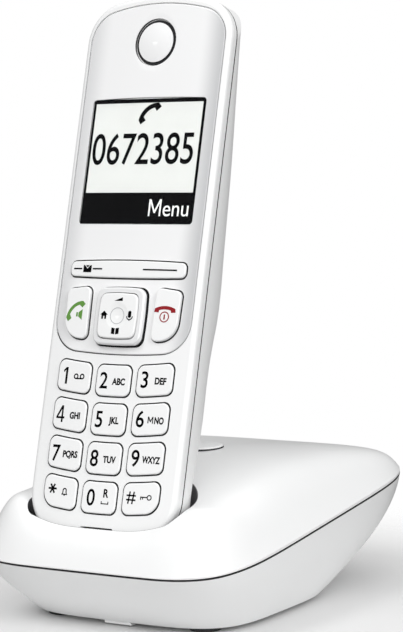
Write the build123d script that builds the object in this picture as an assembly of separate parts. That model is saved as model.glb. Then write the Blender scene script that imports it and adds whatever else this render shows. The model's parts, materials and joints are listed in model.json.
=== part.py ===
from build123d import *
import math
import os

# Cordless phone: a handset that leans back in the pocket of a low charging base.
# Millimetres, +Z up, the front of the object faces -Y, the feet stand on Z = 0.
# Handset pieces are drawn in the handset's own frame: x to the right, y along the
# handset from its lower end, z outward from the face. HANDSET then leans them back.

# ---------------------------------------------------------------- driving sizes
handset_width = 49.0
handset_length = 155.0
lean = 15.7
handset_foot = (0.0, -49.1, 25.7)
crown_radius = 331.0
front_wall = 1.8
front_rounding = 1.5
side_wall = 1.7
casing_seam = -4.0
seam_gap = 0.4

plate_half_width = 22.6
plate_low = 51.9
plate_high = 152.2
plate_thickness = 0.9

ear_height = 141.0
ear_slot_radius = 6.9
ear_disc_radius = 5.75

window_half_width = 19.05
window_low = 88.7
window_high = 124.9

key_pitch_x = 13.5
key_pitch_y = 10.82
key_half_width = 5.65
key_half_height = 4.3
key_top_row = 44.6
key_row_radius = 129.0
key_row_sag = 0.55
key_gap = 0.4
key_proud = 0.5
key_flange = 0.7
control_gap = 0.42
key_seat = -3.0

nav_height = 62.35
nav_half = 7.8
nav_pad_half = 6.05
nav_proud = 1.9
nav_pad_proud = 2.4
soft_height = 75.75
soft_half_width = 19.3
call_inner = 10.8
call_outer = 19.1
call_low = 55.7
call_high = 70.8
call_proud = 1.0
mic_height = 5.1
mic_radius = 2.2
ringer_height = 104.0

board_top = -4.6
board_thickness = 1.0
door_low = 26.0
door_high = 80.0
door_line = -15.0
door_hinge = (26.2, -23.6)
door_reach = 53.8
screw_x = 16.5
screw_y = 53.3
cell_radius = 5.25
cell_length = 44.5
cell_x = 5.6
cell_depth = -16.0
bay_floor = -9.6

base_half_width = 44.8
base_front = -55.0
base_back = 61.5
base_middle = (base_front + base_back) / 2
base_bottom = 1.8
seam_front_z = 18.3
seam_slope = 7.1
base_wall = 2.0
hull_half_width = 35.5
hull_front = -40.0
hull_back = 25.0
seam_power = 5.4
hull_power = 4.2
outline_points = 40
crest_y = 8.0
crest_z = 44.2
front_drop = 16.0
back_drop = 6.5
end_rise = 170.0
side_rise = 90.0
seam_land = 0.8
end_blend = 7.0
side_blend = 13.0
lip_lift = 5.2
lip_y = -50.0
lip_reach = 12.0
lip_half_width = 26.5
dome_columns = 36
dome_rows = 42
pocket_clearance = 1.3
pocket_floor = -0.45
contact_x = 9.0
contact_depth = -11.5
paging_y = 6.0
paging_z = 44.1
paging_radius = 6.4
foot_radius = 4.7
notch_y = 27.0
board_z = 20.0

# depth of the rounded back behind the casing seam, along the handset
back_depths = [
    (-3.0, 13.5), (12.0, 18.0), (30.0, 20.2), (50.0, 20.8), (56.0, 21.6),
    (63.0, 23.4), (82.0, 22.8), (100.0, 20.8), (118.0, 17.8), (132.0, 14.4), (146.0, 10.6), (158.0, 7.0),
]

HANDSET = Plane(
    origin=handset_foot,
    x_dir=(1, 0, 0),
    z_dir=(0, -math.cos(math.radians(lean)), math.sin(math.radians(lean))),
)
SEAM = Plane(
    origin=(0, base_front, seam_front_z),
    x_dir=(1, 0, 0),
    z_dir=(0, -math.sin(math.radians(seam_slope)), math.cos(math.radians(seam_slope))),
)


# ---------------------------------------------------------------- shared helpers
def save(name, shape):
    """Write one piece, moved so that the origin is under the middle of the base."""
    export_step(Pos(0, -base_middle, 0) * shape, f"parts/{name}.step")


def save_handset(name, shape):
    save(name, HANDSET.location * shape)


def group(solids):
    return Compound(children=list(solids))


def outline(half_width, low, high, bow_low, bow_high, r_low, r_high):
    """Straight-sided outline with bowed ends and rounded corners."""
    lower = ThreePointArc((-half_width, low + bow_low), (0, low), (half_width, low + bow_low))
    right = Line(lower @ 1, (half_width, high - bow_high))
    upper = ThreePointArc(right @ 1, (0, high), (-half_width, high - bow_high))
    left = Line(upper @ 1, lower @ 0)
    face = make_face([lower, right, upper, left])
    face = fillet(face.vertices().group_by(Axis.Y)[0], r_low)
    return fillet(face.vertices().group_by(Axis.Y)[-1], r_high)


def slab(face, low, high):
    """Prism of a flat face between two heights."""
    return Pos(0, 0, low) * extrude(face, amount=high - low, dir=(0, 0, 1))


def crown(offset):
    """Everything below the handset's gently curved face, raised by offset."""
    rod = Cylinder(crown_radius + offset, 400, rotation=(90, 0, 0))
    return Pos(0, handset_length / 2, -crown_radius) * rod


def block(x0, x1, y0, y1, z0, z1):
    return Pos((x0 + x1) / 2, (y0 + y1) / 2, (z0 + z1) / 2) * Box(x1 - x0, y1 - y0, z1 - z0)


def disc(x, y, radius, z0, z1):
    return Pos(x, y, (z0 + z1) / 2) * Cylinder(radius, z1 - z0)


def soften_top(shape, radius):
    """Round the edges around the highest face."""
    return fillet(shape.faces().sort_by(Axis.Z)[-1].edges(), radius)


# ---------------------------------------------------------------- handset casing
def handset_outline(inset):
    return outline(
        handset_width / 2 - inset, inset, handset_length - inset, 2.5, 4.5, 12.5 - inset, 12.0 - inset
    )


def back_section(y, depth, inset):
    """Cross-section of the handset: straight sides and an elliptical back."""
    half = handset_width / 2 - inset
    sweep = [math.pi * step / 12 for step in range(13)]
    arc = Spline(
        [(half * math.cos(a), casing_seam - (depth - inset) * math.sin(a)) for a in sweep],
        tangents=[(0, -1), (0, 1)],
    )
    front = Polyline([arc @ 1, (-half, 3), (half, 3), arc @ 0])
    return Plane(origin=(0, y, 0), x_dir=(1, 0, 0), z_dir=(0, -1, 0)) * make_face([arc, front])


def side_profile(inset):
    """Side silhouette that rolls both ends of the handset round towards the back."""
    low = inset
    high = handset_length - inset
    foot = Spline([(low, -11), (low + 8, inset - 21.0)], tangents=[(0, -1), (1, -0.25)])
    tail = Spline([(high, -6.5), (high - 9, inset - 15.0)], tangents=[(0, -1), (-1, -0.35)])
    belly = Polyline([foot @ 1, (30, inset - 30), (130, inset - 30), tail @ 1])
    front = Polyline([foot @ 0, (low, 4), (high, 4), tail @ 0])
    return Plane.YZ * make_face([foot, belly, tail, front])


def handset_block(inset):
    """Solid handset, or its inside when inset by the wall."""
    trunk = loft([back_section(y, depth, inset) for y, depth in back_depths])
    body = trunk & slab(handset_outline(inset), -40, 4)
    return body & extrude(side_profile(inset), 30, both=True)


def ear_slot():
    return disc(0, ear_height, ear_slot_radius, -4, 3)


def window_face(grow):
    corner = max(1.0 + grow, 0.4)
    low = window_low - grow
    high = window_high + grow
    return outline(window_half_width + grow, low, high, 0.15, 0.35, corner, corner)


def make_front_shell(solid, inside):
    shell = (solid & crown(0)) & block(-30, 30, -5, 160, casing_seam + seam_gap / 2, 4)
    shell = soften_top(shell, front_rounding)
    hollow = inside & block(-30, 30, -5, 160, -40, -front_wall)
    shell = shell - hollow
    lip = slab(handset_outline(side_wall + 0.16), casing_seam - 1.5, casing_seam + 1.5)
    lip = lip + slab(handset_outline(side_wall - 0.3), casing_seam + 0.3, casing_seam + 1.5)
    lip = lip - slab(handset_outline(side_wall + 1.0), casing_seam - 3, casing_seam + 3)
    shell = shell + (lip & solid)
    recess = slab(plate_face(0.3), -3, 4) - crown(-plate_thickness)
    shell = shell - recess
    shell = shell - slab(window_face(-1.2), -4, 3)
    shell = shell - disc(0, ear_height, ear_slot_radius - 0.3, -4, 3)
    for hole in key_holes() + control_holes():
        shell = shell - hole
    for side in (-1, 1):
        boss = disc(side * screw_x, screw_y, 1.7, bay_floor + 1.2, -front_wall + 0.3)
        shell = shell + (boss - disc(side * screw_x, screw_y, 1.0, bay_floor, -front_wall - 0.6))
    mic_slot = slab(outline(5.4, 3.1, 3.9, 0.02, 0.02, 0.3, 0.3), -4, 3)
    return shell - mic_slot


# ---------------------------------------------------------------- face plate, ear, window
def plate_face(grow):
    return outline(
        plate_half_width + grow, plate_low - grow, plate_high + grow, 1.5, 4.0, 9.0 + grow, 9.0 + grow
    )


def make_face_plate():
    plate = slab(plate_face(0), -3, 3) & (crown(0) - crown(-plate_thickness))
    plate = fillet(plate.faces().sort_by(Axis.Z)[-1].outer_wire().edges(), 0.3)
    dish = Pos(0, ear_height, 119.7) * Sphere(120.0)
    plate = plate - dish - ear_slot() - slab(window_face(0.15), -4, 3)
    for hole in control_holes():
        plate = plate - hole
    return plate


def make_earpiece_disc():
    button = disc(0, ear_height, ear_disc_radius, -0.9, 0.5)
    dome = Pos(0, ear_height, -39.9) * Sphere(40.0)
    button = button & dome
    legs = [
        Pos(0, ear_height, 0) * Rot(0, 0, turn) * block(4.7, 5.6, -0.5, 0.5, -1.3, -0.85)
        for turn in (-10, 110, 230)
    ]
    return button + legs


def make_earpiece_grille():
    rim = ear_slot_radius - 0.4
    mesh = disc(0, ear_height, rim, -1.75, -1.3)
    mesh = mesh + (disc(0, ear_height, rim, -1.4, -0.6) - disc(0, ear_height, ear_disc_radius + 0.15, -1.3, 0))
    for ring, count in ((2.2, 6), (4.4, 12)):
        for step in range(count):
            turn = math.tau * step / count
            x = ring * math.cos(turn)
            y = ear_height + ring * math.sin(turn)
            mesh = mesh - disc(x, y, 0.45, -2.5, 0)
    return mesh


def make_display_window():
    pane = slab(window_face(0), -plate_thickness, 3) & crown(-0.05)
    return pane


def make_lcd_module():
    glass = block(-17.3, 17.3, window_low + 1.9, window_high - 1.9, -3.6, -2.2)
    ribbon = block(-9.0, 9.0, window_low - 1.5, window_low + 1.9, -3.4, -3.1)
    return glass + ribbon


def make_lcd_frame():
    frame = block(-19.0, 19.0, window_low + 0.4, window_high - 0.4, -4.4, -2.0)
    frame = frame - block(-17.5, 17.5, window_low + 1.7, window_high - 1.7, -3.7, -1)
    return frame - block(-9.5, 9.5, window_low - 1, window_low + 3, -3.7, -2.9)


# ---------------------------------------------------------------- keys
def arched_face(x, y, half_w, half_h, corner, low_outer_corner):
    """Key outline whose upper and lower edges follow the smiling rows of keys."""
    def edge(height):
        def rise(at):
            return key_row_radius - math.sqrt(key_row_radius ** 2 - at * at) - key_row_sag * 0.25
        points = [(x + side * half_w, height + rise(x + side * half_w)) for side in (-1, 0, 1)]
        return ThreePointArc(*points)
    lower = edge(y - half_h)
    upper = edge(y + half_h)
    right = Line(lower @ 1, upper @ 1)
    left = Line(upper @ 0, lower @ 0)
    face = make_face([lower, right, upper, left])
    outer = -1 if x < 0 else 1
    if low_outer_corner > corner:
        target = face.vertices().sort_by_distance((x + outer * half_w, y - half_h, 0))[0]
        face = fillet(target, low_outer_corner)
        rest = [v for v in face.vertices() if is_square_corner(v, x, y, half_w, half_h, outer)]
        return fillet(rest, corner)
    return fillet(face.vertices(), corner)


def is_square_corner(vertex, x, y, half_w, half_h, outer):
    """True for the three corners of a key that the large rounding left alone."""
    at_side = abs(abs(vertex.X - x) - half_w) < 0.01
    at_end = abs(abs(vertex.Y - y) - half_h) < half_h / 2
    low_outer = (vertex.X - x) * outer > 0 and vertex.Y < y
    return at_side and at_end and not low_outer


def key_table():
    """Name, place and outer lower rounding of the twelve number keys."""
    names = ["1", "2", "3", "4", "5", "6", "7", "8", "9", "star", "0", "hash"]
    table = []
    for index, name in enumerate(names):
        column = index % 3 - 1
        row = index // 3
        rounding = 4.4 if name in ("star", "hash") else 2.0
        table.append((name, column * key_pitch_x, key_top_row - row * key_pitch_y, rounding))
    return table


def key_holes():
    return [
        slab(arched_face(x, y, key_half_width + key_gap, key_half_height + key_gap, 2.2, r + 0.2), -4, 3)
        for _, x, y, r in key_table()
    ]


def key_solid(cap_face, flange_face, proud):
    """Cap with a crowned top, on a flange that catches behind the casing."""
    cap = slab(cap_face, key_seat, 4) & crown(proud)
    cap = fillet(cap.faces().sort_by(Axis.Z)[-1].edges(), 0.35)
    flange = slab(flange_face, key_seat, -front_wall - 0.1)
    return cap + flange


def make_key(x, y, rounding):
    cap = arched_face(x, y, key_half_width, key_half_height, 2.0, rounding)
    flange = arched_face(
        x, y, key_half_width + key_flange, key_half_height + key_flange, 2.0, rounding
    )
    return key_solid(cap, flange, key_proud)


def soft_face(grow):
    """Long bar with gently bowed edges: the rocker under the display."""
    half = soft_half_width + grow
    tip = 2.05 + grow
    mid = 2.45 + grow
    lower = ThreePointArc((-half, soft_height - tip), (0, soft_height - mid), (half, soft_height - tip))
    right = Line(lower @ 1, (half, soft_height + tip))
    upper = ThreePointArc(right @ 1, (0, soft_height + mid), (-half, soft_height + tip))
    left = Line(upper @ 1, lower @ 0)
    face = make_face([lower, right, upper, left])
    return fillet(face.vertices(), 1.5 + grow)


def call_face(side, grow):
    """Talk key (side -1) or end key (side 1), with one large outer lower rounding."""
    inner = call_inner - grow
    outer = call_outer + grow
    low = call_low - grow
    high = call_high + grow
    face = make_face(Polyline([
        (side * (inner + 0.3), high), (side * outer, high - 0.9),
        (side * (outer - 0.4), low + 0.6), (side * inner, low), (side * (inner + 0.3), high),
    ]))
    corner = face.vertices().sort_by_distance((side * outer, low, 0))[0]
    face = fillet(corner, 5.6 + grow)
    others = [
        v for v in face.vertices()
        if v.Y > high - 1.5 or (abs(v.X) < inner + 1 and v.Y < low + 1)
    ]
    return fillet(others, 1.8 + grow)


def nav_face(half):
    """Rounded square with gently bowed sides."""
    low = nav_height - half
    high = nav_height + half
    bow = 0.35
    corners = [(-half, low), (half, low), (half, high), (-half, high)]
    middles = [(0, low - bow), (half + bow, nav_height), (0, high + bow), (-half - bow, nav_height)]
    sides = [ThreePointArc(corners[i], middles[i], corners[(i + 1) % 4]) for i in range(4)]
    face = make_face(sides)
    return fillet(face.vertices(), half * 0.33)


def control_holes():
    """Openings for the rocker, the talk and end keys and the navigation key."""
    return [
        slab(soft_face(control_gap), -4, 3),
        slab(call_face(-1, control_gap), -4, 3),
        slab(call_face(1, control_gap), -4, 3),
        slab(nav_face(nav_half + control_gap), -4, 3),
    ]


def make_soft_key():
    """Rocker cap with a short flange at its pivot."""
    cap = slab(soft_face(0), key_seat, 4) & crown(0.6)
    cap = fillet(cap.faces().sort_by(Axis.Z)[-1].edges(), 0.35)
    reach = 3.1
    flange = block(-6, 6, soft_height - reach, soft_height + reach, key_seat, -front_wall - 0.4)
    return cap + flange


def make_call_key(side):
    return key_solid(call_face(side, 0), call_face(side, key_flange), call_proud)


def make_nav_ring():
    ring = slab(nav_face(nav_half), key_seat, 4) & crown(nav_proud)
    ring = fillet(ring.faces().sort_by(Axis.Z)[-1].edges(), 0.6)
    ring = ring + slab(nav_face(nav_half + 0.8), key_seat, -front_wall - 0.4)
    return ring - slab(nav_face(nav_pad_half + 0.25), -5, 4)


def make_nav_pad():
    pad = slab(nav_face(nav_pad_half), key_seat, 4) & crown(nav_pad_proud)
    pad = fillet(pad.faces().sort_by(Axis.Z)[-1].edges(), 0.4)
    dimple = Pos(0, nav_height, nav_pad_proud + 23.7) * Sphere(24.0)
    return pad - dimple


# ---------------------------------------------------------------- handset back and door
def door_zone(gap):
    """Region of the battery door, whose far end follows the arc about its hooks."""
    zone = block(-30, 30, door_low - gap, door_high + 5, -40, door_line + gap)
    swing = Pos(0, *door_hinge) * Cylinder(door_reach + gap, 80, rotation=(0, 90, 0))
    return zone & swing


def make_back_shell(solid, inside):
    keep = block(-30, 30, -5, 160, -40, casing_seam - seam_gap / 2)
    shell = (solid - inside) & keep
    shell = shell - door_zone(0.15)
    bay = block(-22.5, 22.5, door_low - 1.4, door_high + 1.4, bay_floor, bay_floor + 1.0)
    ends = [
        block(-22.5, 22.5, y, y + 1.2, -40, bay_floor + 1.0) for y in (door_low - 1.5, door_high + 0.3)
    ]
    shell = shell + ((bay + ends) & inside)
    ledge = block(-24, 24, door_low - 0.2, door_high + 0.2, door_line + 0.35, door_line + 1.4)
    ledge = (ledge & inside) - block(-17.5, 17.5, 0, 160, -40, 0)
    shell = shell + ledge
    for side in (-1, 1):
        shell = shell - disc(side * screw_x, screw_y, 1.25, -12, -6)
    for row in range(5):
        half = 7 - abs(row - 2)
        low = ringer_height - 6.6 + 3 * row
        shell = shell - block(-half, half, low, low + 1.2, -40, -18)
    for side in (-1, 1):
        shell = shell - block(side * contact_x - 2.6, side * contact_x + 2.6, -3, 4.2, -14, -9)
    return shell


def make_battery_door(solid, skin):
    door = (solid - skin) & door_zone(0)
    notch = Pos(0, door_high - 4.0, -30.9) * Sphere(4.0)
    return door - notch


def make_batteries():
    cells = []
    for side in (-1, 1):
        barrel = Cylinder(cell_radius - 0.1, cell_length - 1.0)
        tip = Pos(0, 0, side * (cell_length / 2 - 0.45)) * Cylinder(1.9, 1.1)
        cell = Rot(90, 0, 0) * (fillet(barrel.edges(), 0.5) + tip)
        cells.append(Pos(side * cell_x, 53, cell_depth) * cell)
    return cells


def make_battery_contacts():
    """Two leaf plates at each end of the bay, one pair with a coiled spring pressed flat."""
    plates = []
    for side in (-1, 1):
        for y0 in (door_low + 0.1, door_high - 0.7):
            x = side * cell_x
            plates.append(block(x - 4, x + 4, y0, y0 + 0.4, cell_depth - 4, cell_depth + 4))
    coils = []
    for side, y0, y1 in ((-1, door_low + 0.5, 30.2), (1, 75.8, door_high - 0.7)):
        ring = Cylinder(3.2, y1 - y0, rotation=(90, 0, 0)) - Cylinder(2.4, y1 - y0 + 1, rotation=(90, 0, 0))
        coils.append(Pos(side * cell_x, (y0 + y1) / 2, cell_depth) * ring)
    return group(plates + coils)


def make_handset_screws():
    screws = []
    for side in (-1, 1):
        x = side * screw_x
        shank = disc(x, screw_y, 0.95, -10.0, -4.0)
        head = disc(x, screw_y, 2.0, -11.2, -9.6)
        cross = block(x - 1.2, x + 1.2, screw_y - 0.2, screw_y + 0.2, -11.4, -10.8)
        screws.append(head + shank - cross)
    return group(screws)


# ---------------------------------------------------------------- handset inside
def make_handset_board():
    board = block(-21.0, 21.0, 10.0, 130.0, board_top - board_thickness, board_top)
    board = fillet(board.edges().filter_by(Axis.Z), 3.0)
    for side in (-1, 1):
        board = board - disc(side * screw_x, screw_y, 2.2, -10, 0)
    return board


def key_centres():
    centres = [(x, y) for _, x, y, _ in key_table()]
    centres += [(side * 14.6, 64.0) for side in (-1, 1)]
    centres += [(side * 12.0, soft_height) for side in (-1, 1)]
    centres += [(dx, nav_height + dy) for dx, dy in ((0, 5), (0, -5), (5, 0), (-5, 0))]
    return centres


def make_dome_sheet():
    sheet = block(-20.5, 20.5, 11.0, 79.5, board_top, board_top + 0.15)
    for side in (-1, 1):
        sheet = sheet - disc(side * screw_x, screw_y, 2.2, -10, 0)
    domes = [disc(x, y, 1.9, board_top + 0.1, board_top + 0.8) for x, y in key_centres()]
    return sheet + domes


def make_ear_speaker():
    can = disc(0, ear_height, 7.6, -6.6, -3.0)
    rim = disc(0, ear_height, 6.9, -3.0, -2.2)
    return can + (rim - disc(0, ear_height, 5.6, -4, -1))


def make_ringer_speaker():
    basket = disc(0, ringer_height, 9.5, -14.5, -11.5)
    magnet = disc(0, ringer_height, 6.0, -11.5, -8.6)
    return basket + magnet


def make_microphone():
    capsule = disc(0, mic_height, mic_radius, -5.4, -4.0)
    return capsule + disc(0, mic_height, mic_radius - 0.8, -4.0, -2.1)


def make_handset_shield():
    can = block(-14, 14, 84, 108, -8.2, board_top - board_thickness)
    return soften_lower(can, 0.4)


def soften_lower(shape, radius):
    return fillet(shape.faces().sort_by(Axis.Z)[0].edges(), radius)


def make_handset_antenna():
    low = board_top - board_thickness - 0.4
    strips = [block(-18, 18, 124, 127, low, low + 0.4), block(-18, -15, 112, 124, low, low + 0.4)]
    return strips[0] + strips[1]


def make_handset_contacts():
    plates = []
    for side in (-1, 1):
        x = side * contact_x
        foot = block(x - 2.3, x + 2.3, 0.15, 0.75, -13.6, -9.4)
        tail = block(x - 1.0, x + 1.0, 0.6, 12.0, -9.8, -9.4)
        plates.append(foot + tail)
    return group(plates)


# ---------------------------------------------------------------- base shells
def squircle(half_x, half_y, power):
    """Closed superellipse outline about the origin."""
    points = []
    for step in range(outline_points):
        turn = math.tau * step / outline_points
        c = abs(math.cos(turn)) / half_x
        s = abs(math.sin(turn)) / half_y
        reach = (c ** power + s ** power) ** (-1 / power)
        points.append((reach * math.cos(turn), reach * math.sin(turn)))
    return make_face(Spline(points, periodic=True))


def seam_height(y):
    return seam_front_z + (y - base_front) * math.tan(math.radians(seam_slope))


def crest_height(y):
    """Side view of the top: a ramp at the front, a crown and a slope to the back."""
    t = (y - crest_y) / (crest_y - base_front) if y < crest_y else (y - crest_y) / (base_back - crest_y)
    drop = front_drop if y < crest_y else back_drop
    return crest_z - drop * abs(t) ** 2.0


def lip_height(x, y):
    """Extra height of the cradle's front lip, which smiles up towards its corners."""
    corner = (x / lip_half_width) ** 4
    return lip_lift * corner / (0.7 + 0.3 * corner) * math.exp(-((y - lip_y) / lip_reach) ** 2)


def dome_height(x, y, inset):
    """Height of the domed top: drafted walls blended softly into the crest."""
    across = abs(x) / (base_half_width - inset)
    along = abs(y - base_middle) / ((base_back - base_front) / 2 - inset)
    ratio = (across ** seam_power + along ** seam_power) ** (1 / seam_power)
    endward = along ** 3
    rise = side_rise + (end_rise - side_rise) * endward
    blend = side_blend + (end_blend - side_blend) * endward
    crest = crest_height(y) + lip_height(x, y) - inset - seam_height(y)
    foot = seam_land + blend ** 2 / (4 * (crest - seam_land))
    wall = rise * (1 - ratio) + foot
    return seam_height(y) + (wall + crest - math.hypot(wall - crest, blend)) / 2


def dome_solid(inset):
    """Domed body above the sloping seam."""
    margin = 4.0
    grid = []
    for column in range(dome_columns + 1):
        x = (2 * column / dome_columns - 1) * (base_half_width + margin)
        row = []
        for step in range(dome_rows + 1):
            y = base_front - margin + (base_back - base_front + 2 * margin) * step / dome_rows
            row.append((x, y, dome_height(x, y, inset)))
        grid.append(row)
    skin = Face.make_surface_from_array_of_points(grid, tol=0.005, min_deg=3, max_deg=5)
    filled = extrude(skin, amount=70, dir=(0, 0, -1))
    return filled & (SEAM.location * slab(seam_outline(inset), 0, 40))


def seam_outline(inset):
    """Outline of the seam, in the seam's own sloping plane."""
    half_y = (base_back - base_front) / 2 / math.cos(math.radians(seam_slope))
    face = squircle(base_half_width - inset, half_y - inset, seam_power)
    return Pos(0, half_y, 0) * face


def pocket_section(grow):
    """Section of the cradle, square to the handset's length."""
    half = handset_width / 2 + grow
    depth = 19.6 + grow
    sweep = [math.pi * step / 12 for step in range(13)]
    arc = Spline(
        [(half * math.cos(a), casing_seam - depth * math.sin(a)) for a in sweep],
        tangents=[(0, -1), (0, 1)],
    )
    front_z = 0.35 + (grow - pocket_clearance)
    front = Polyline([arc @ 1, (-half, front_z), (half, front_z), arc @ 0])
    face = make_face([arc, front])
    corners = face.vertices().group_by(Axis.Y)[-1]
    return Plane.XZ * fillet(corners, 4.0)


def pocket(grow, floor, height):
    """Cradle prism along the handset's length."""
    prism = extrude(pocket_section(grow), amount=height - floor, dir=(0, 1, 0))
    return HANDSET.location * (Pos(0, floor, 0) * prism)


def contact_slots(grow):
    slots = [
        block(side * contact_x - 1.1 - grow, side * contact_x + 1.1 + grow, -6, 2,
              contact_depth - 2.2 - grow, contact_depth + 2.2 + grow)
        for side in (-1, 1)
    ]
    return HANDSET.location * group(slots)


def make_top_shell():
    solid = dome_solid(0)
    above_seam = SEAM.location * block(-80, 80, -30, 150, 0.25, 60)
    shell = (solid & above_seam) - dome_solid(base_wall)
    cup = pocket(pocket_clearance + 1.6, pocket_floor - 1.8, 70) & (solid + lower_room())
    shell = shell + cup
    shell = shell - pocket(pocket_clearance, pocket_floor, 90)
    shell = shell - contact_slots(0.3)
    shell = shell - disc(0, paging_y, paging_radius + 0.3, 30, 60)
    return shell


def lower_room():
    """Space under the seam that the cradle may reach into."""
    return SEAM.location * block(-40, 40, 10, 60, -15, 0.6)


def hull_section(t, inset):
    """Outline of the lower body between the seam (t = 0) and the flat bottom (t = 1)."""
    seam_back_z = seam_front_z + (base_back - base_front) * math.tan(math.radians(seam_slope))
    z_front = seam_front_z + (base_bottom - seam_front_z) * t
    z_back = seam_back_z + (base_bottom - seam_back_z) * t
    front = base_front + (hull_front - base_front) * t ** 1.35 + inset
    back = base_back + (hull_back - base_back) * t ** 1.8 - inset
    half = base_half_width + (hull_half_width - base_half_width) * t ** 1.6 - inset
    tilt = math.atan2(z_back - z_front, back - front)
    plane = Plane(
        origin=(0, front, z_front - seam_gap / 2),
        x_dir=(1, 0, 0),
        z_dir=(0, -math.sin(tilt), math.cos(tilt)),
    )
    half_y = math.hypot(back - front, z_back - z_front) / 2
    power = seam_power + (hull_power - seam_power) * t
    return plane * (Pos(0, half_y, 0) * squircle(half, half_y, power))


def hull_solid(inset):
    return loft([hull_section(t, inset) for t in (0.0, 0.3, 0.6, 0.82, 1.0)])


def notch_block(grow):
    """Recess at the stern that the line and power sockets look out of."""
    return block(-21 - grow, 21 + grow, notch_y - grow, 70, -5, 17.5 + grow)


def foot_places():
    return [(side * 24.0, y) for y in (-31.5, 13.0) for side in (-1, 1)]


def screw_places():
    return [(side * 30.0, y) for y in (-18.0, 4.0) for side in (-1, 1)]


def make_bottom_shell():
    solid = hull_solid(0) - notch_block(0)
    room = Pos(0, 0, base_wall) * hull_solid(base_wall) - notch_block(base_wall)
    shell = solid - room
    lip = slab(seam_outline(base_wall - 0.3), -1.6, -0.6) + slab(seam_outline(base_wall + 0.4), -1.6, 1.2)
    lip = lip - slab(seam_outline(base_wall + 1.3), -3, 3)
    shell = shell + SEAM.location * lip
    for x, y in foot_places():
        shell = shell + disc(x, y, foot_radius + 1.4, base_bottom, base_bottom + 2.6)
        shell = shell - disc(x, y, foot_radius, 0, base_bottom + 0.8)
    for x, y in screw_places():
        shell = shell + disc(x, y, 3.4, base_bottom + 0.5, board_z - 0.2)
        shell = shell - disc(x, y, 2.4, -1, 6.0) - disc(x, y, 1.2, -1, 30)
    for jack_x, half in ((-9.0, 6.2), (9.0, 6.2)):
        shell = shell - block(jack_x - half, jack_x + half, notch_y - 5, notch_y + 5, 3.9, 14.6)
    shell = shell - block(-17, 17, -16, 6, 0, base_bottom + 0.25)
    tab = block(-4.4, 4.4, hull_front + 0.6, hull_front + 3.2, 0.5, base_bottom + 2.0)
    return shell + fillet(tab.edges().filter_by(Axis.X), 0.5)


# ---------------------------------------------------------------- base inside
def make_base_board():
    board = block(-33.0, 33.0, -16.0, 34.0, board_z, board_z + 1.6)
    board = fillet(board.edges().filter_by(Axis.Z), 3.0)
    for x, y in screw_places():
        board = board - disc(x, y, 1.3, 10, 30)
    return board


def make_jack(x):
    """Modular socket whose mouth looks out of the recess at the back."""
    body = block(x - 6.0, x + 6.0, notch_y - 14.0, notch_y + 0.2, 4.2, 14.4)
    mouth = block(x - 4.9, x + 4.9, notch_y - 10.0, notch_y + 2, 5.6, 12.4)
    latch = block(x - 3.1, x + 3.1, notch_y - 10.0, notch_y + 2, 4.8, 6.0)
    legs = [block(x + dx - 0.5, x + dx + 0.5, notch_y - 9, notch_y - 7, 14.0, board_z) for dx in (-4, 4)]
    return body - mouth - latch + legs


def make_jack_contacts():
    pins = []
    for x, count in ((-9.0, 4), (9.0, 2)):
        for step in range(count):
            px = x + (step - (count - 1) / 2) * 1.27
            pins.append(block(px - 0.2, px + 0.2, notch_y - 9.6, notch_y - 3.0, 11.7, 12.35))
    return group(pins)


def make_paging_key():
    cap = disc(0, paging_y, paging_radius, 39.0, paging_z + 0.5)
    cap = cap & (Pos(0, paging_y, paging_z + 0.5 - 60.0) * Sphere(60.0))
    cap = fillet(cap.faces().sort_by(Axis.Z)[-1].edges(), 0.5)
    flange = disc(0, paging_y, paging_radius + 1.2, 40.0, 41.2)
    stem = disc(0, paging_y, 1.8, board_z + 6.8, 39.0)
    return cap + flange + stem


def make_paging_switch():
    body = block(-3, 3, paging_y - 3, paging_y + 3, board_z + 1.6, board_z + 4.4)
    return body + disc(0, paging_y, 1.6, board_z + 4.4, board_z + 5.3)


def make_base_shield():
    can = block(-22, -4, 10, 30, board_z + 1.6, board_z + 5.0)
    return soften_top(can, 0.5)


def make_capacitors():
    cans = []
    for x, y, radius, height in ((14, 16, 4.0, 9.0), (14, 26, 3.1, 7.5), (22, 21, 2.5, 6.0)):
        can = disc(x, y, radius, board_z + 1.6, board_z + 1.6 + height)
        cans.append(soften_top(can, 0.4))
    return group(cans)


def make_base_antennas():
    blades = []
    for side in (-1, 1):
        x = side * 30.0
        post = block(x - 0.3, x + 0.3, 18, 20, board_z + 1.6, board_z + 9.0)
        arm = block(x - 0.3, x + 0.3, -2, 20, board_z + 8.0, board_z + 9.6)
        blades.append(post + arm)
    return group(blades)


def make_base_contact(side):
    """Sprung contact blade that stands up through the floor of the pocket."""
    x = side * contact_x
    blade = block(x - 1.1, x + 1.1, -5.4, -0.15, contact_depth - 2.0, contact_depth + 2.0)
    blade = fillet(blade.faces().sort_by(Axis.Y)[-1].edges(), 0.7)
    shoe = block(x - 2.2, x + 2.2, -5.8, -4.2, contact_depth - 2.6, contact_depth + 2.6)
    return blade + shoe


def make_feet():
    pads = []
    for x, y in foot_places():
        pad = disc(x, y, foot_radius - 0.1, 0, base_bottom + 0.8)
        pads.append(fillet(pad.faces().sort_by(Axis.Z)[0].edges(), 0.5))
    return group(pads)


def make_base_screws():
    screws = []
    for x, y in screw_places():
        head = disc(x, y, 2.2, 4.2, 6.0)
        shank = disc(x, y, 1.15, 5.9, 22.0)
        cross = block(x - 1.4, x + 1.4, y - 0.25, y + 0.25, 4.0, 4.8)
        screws.append(head + shank - cross)
    return group(screws)


def make_label():
    return block(-16.5, 16.5, -15.5, 5.5, base_bottom, base_bottom + 0.25)


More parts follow.
